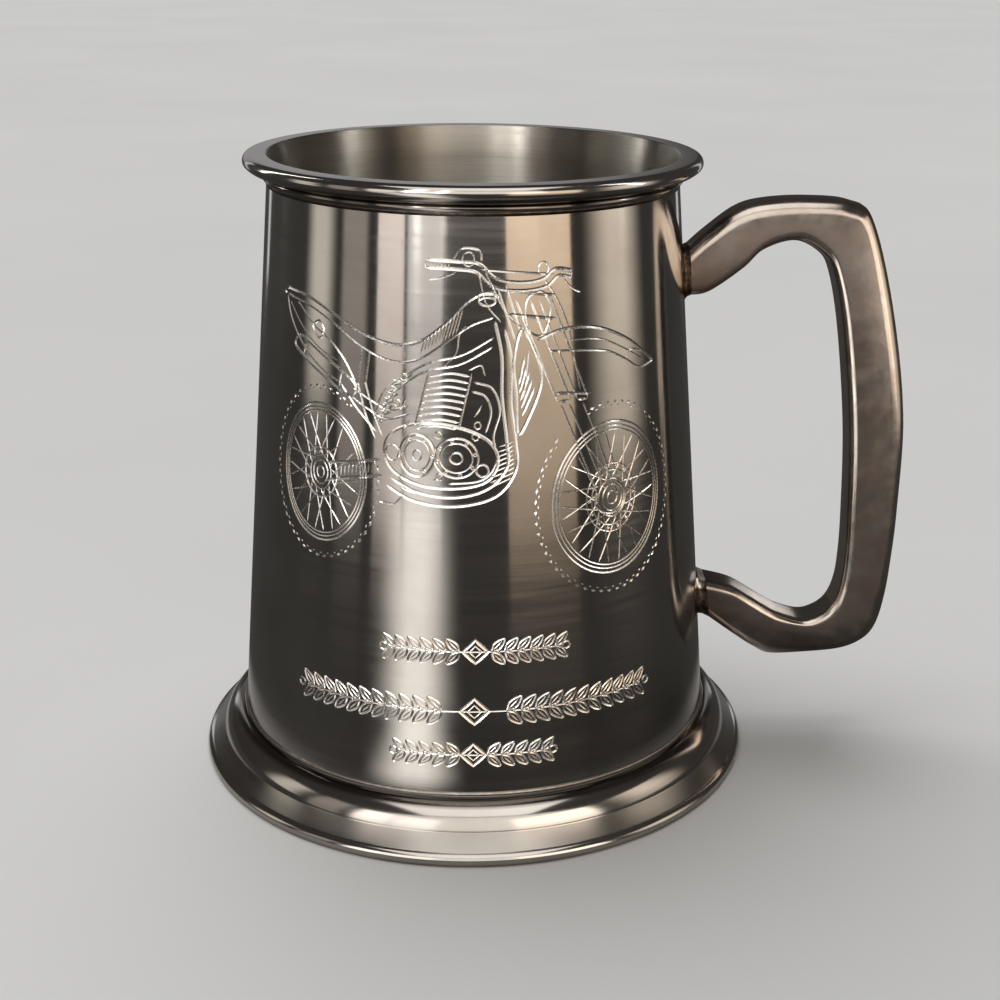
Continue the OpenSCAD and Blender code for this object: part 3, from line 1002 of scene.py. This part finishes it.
def soft_box(name, place, aim, width, height, glow, colour, fade=0.0, keep_off=(), only=(), spin=0.0,
             low=1.0):
    """A soft light of this brightness that faces a point. It fades over this share of its width at each side,
    and its lower half falls to this share of its brightness."""
    light = bpy.data.lights.new(name, "AREA")
    light.shape, light.size, light.size_y = "RECTANGLE", width, height
    light.energy, light.color = glow * math.pi * width * height, colour
    light.use_nodes = True
    tree = light.node_tree
    spot = tree.nodes.new("ShaderNodeNewGeometry")
    split = tree.nodes.new("ShaderNodeSeparateXYZ")
    tree.links.new(spot.outputs["Parametric"], split.inputs[0])
    product = tree.nodes.new("ShaderNodeMath")
    product.operation = "MULTIPLY"
    fade = max(fade, 0.001)
    across, upward = ((0, 0), (fade, 1), (1 - fade, 1), (1, 0)), ((0, low), (0.15, low), (0.5, 1), (1, 1))
    for i, stops in enumerate((across, upward)):
        ramp = tree.nodes.new("ShaderNodeValToRGB")
        ramp.color_ramp.interpolation = "EASE"
        ends = ramp.color_ramp.elements
        ends.new(0.4)
        ends.new(0.6)
        for end, (position, level) in zip(ends, stops):
            end.position, end.color = position, (level, level, level, 1)
        tree.links.new(split.outputs[i], ramp.inputs[0])
        tree.links.new(ramp.outputs["Color"], product.inputs[i])
    tree.links.new(product.outputs[0], tree.nodes["Emission"].inputs["Strength"])
    box = add_object(name, light)
    box.location = place
    box.rotation_euler = (Vector(aim) - Vector(place)).to_track_quat("-Z", "Y").to_euler()
    box.rotation_euler.rotate_axis("Z", math.radians(spin))
    box.visible_camera = False
    share_light(box, keep_off, only)


def strip(name, left, right, distance, low, high, glow, colour, fade, dim=1.0, keep_off=(), only=()):
    """An upright panel between two azimuths: 0 is in front of the engraving, 90 on the handle's side."""
    middle = math.radians((left + right) / 2)
    width = 2 * distance * math.tan(math.radians(right - left) / 2)
    level = (low + high) / 2
    place = (distance * math.sin(middle), -distance * math.cos(middle), level)
    soft_box(name, place, (0, 0, level), width, high - low, glow, colour, fade, keep_off, only, low=dim)


def light_drum(floor, handle, foot, cup):
    """Panels for the bands on the drum, low ones for the table's glow, and streaks inside the cup."""
    off, off_both = [floor], [floor] + handle
    for name, left, right, low, high, glow, colour, fade, dim, keep_off in (
            ("left_shade", -71, -53, 0.0, 0.22, 0.4, (1.0, 0.88, 0.78), 0.2, 0.8, off),
            ("left_pink", -49, -35, 0.0, 0.22, 1.35, (1.0, 0.88, 0.80), 0.0, 0.55, off),
            ("left_white", -34, -15, 0.0, 0.22, 0.92, (1.0, 0.95, 0.90), 0.08, 0.6, off),
            ("left_dim", -96, -72, 0.03, 0.20, 0.8, (1.0, 0.93, 0.80), 0.4, 1.0, off),
            ("right_peach", 15, 48.5, 0.0, 0.22, 1.3, (1.0, 0.77, 0.55), 0.0, 0.5, off_both),
            ("right_cream", 54, 97, 0.01, 0.22, 1.1, (1.0, 0.86, 0.70), 0.45, 0.7, off)):
        strip(name, left, right, 0.31, low, high, glow, colour, fade, dim, keep_off)
    for name, left, right in (("back_left", -147, -141), ("back_right", 143, 149)):
        strip(name, left, right, 0.45, 0.02, 0.25, 0.7, (0.95, 0.97, 1.0), 0.2, keep_off=off_both)
    strip("back_low", 166, 218, 1.0, 0.12, 0.45, 0.30, (0.97, 0.97, 1.0), 0.3, keep_off=off_both)
    for start, end in ((0.025, 0.07), (0.07, 0.13), (0.13, 0.21), (0.21, 0.33)):
        middle = (start + end) / 2
        place = Vector((-0.01 - 0.52 * middle, -0.045 - 0.89 * middle, 0.002))
        soft_box("table_glow", place, place + Vector((0, 0, 1)), 0.012 + 0.80 * middle, end - start, 1.6,
                 (1.0, 0.95, 0.88), 0.45, keep_off=off, spin=27)
    for azimuth, reach, glow in ((-29.5, 2.5, 12.0), (-15.5, 1.5, 8.0), (83, 2, 9.0), (-120, 2, 10.0)):
        strip("inside", azimuth - reach, azimuth + reach, 0.45, 0.14, 0.60, glow, (1.0, 0.97, 0.92), 0.3,
              only=cup)
    soft_box("overhead", (0, -0.25, 0.60), (0, -0.25, 0), 0.50, 0.45, 1.5, (1.0, 0.94, 0.88), keep_off=off)
    soft_box("front_high", (0.02, -0.42, 0.31), (0.02, 0, 0.31), 0.50, 0.34, 1.3, (1.0, 0.91, 0.82),
             keep_off=off + foot)
    soft_box("foot_front", (0, -0.42, 0.25), (0, 0, 0.25), 1.10, 0.46, 1.25, (1.0, 0.92, 0.84), 0.04,
             only=foot)


def light_handle(handle):
    """Lights for the handle alone: two panels that face it, three that lie on the floor and one in front."""
    for name, place, aim, width, height, glow, colour, fade in (
            ("side", (0.279, -0.237, 0.11), (0.08, 0, 0.11), 0.24, 0.20, 1.9, (1.0, 0.84, 0.67), 0.1),
            ("back", (0.197, 0.221, 0.05), (0.08, 0, 0.06), 0.08, 0.12, 1.0, (1.0, 0.97, 0.93), 0.0),
            ("far", (0.16, -0.56, 0.004), (0.16, -0.56, 1), 0.40, 0.34, 0.34, (1.0, 0.83, 0.74), 0.3),
            ("near", (0.14, -0.22, 0.004), (0.14, -0.22, 1), 0.34, 0.34, 0.06, (1.0, 0.80, 0.68), 0.3),
            ("front", (0.05, -0.42, 0.12), (0.05, 0, 0.12), 0.30, 0.06, 0.95, (1.0, 0.90, 0.80), 0.2),
            ("glow", (-0.03, -0.19, 0.003), (-0.03, -0.19, 1), 0.11, 0.14, 1.5, (1.0, 0.92, 0.84), 0.2)):
        soft_box("handle_" + name, place, aim, width, height, glow, colour, fade, only=handle)


def light_room(floor):
    """The dim surroundings, and a soft sun that keeps the floor pale and lights nothing else."""
    world = bpy.data.worlds.new("studio")
    bpy.context.scene.world = world
    world.use_nodes = True
    world.node_tree.nodes["Background"].inputs["Color"].default_value = (0.05, 0.045, 0.042, 1)
    wash = add_object("floor_wash", bpy.data.lights.new("floor_wash", "SUN"))
    wash.data.energy, wash.data.angle = 2.6, math.radians(70)
    wash.rotation_euler = (math.radians(-22), math.radians(-12), 0)
    share_light(wash, (), [floor])
    bpy.context.scene.view_settings.view_transform = "Standard"


make_camera()
make_drum()
make_rim()
make_foot()
make_floor()
make_seams()
bar_path = make_handle()
make_handle_solder("upper_joint", "handle_upper_solder", bar_path[0], bar_path[3])
make_handle_solder("lower_joint", "handle_lower_solder", bar_path[-1], bar_path[-4])
floor_plane = make_floor_stage()
handle_parts, foot_parts, cup_parts = ([bpy.data.objects[name] for name in names] for names in (
    ("handle_bar", "upper_joint", "lower_joint"), ("foot_skirt",),
    ("drum_body", "rim", "cup_floor", "floor_seam")))
light_drum(floor_plane, handle_parts, foot_parts, cup_parts)
light_handle(handle_parts)
light_room(floor_plane)
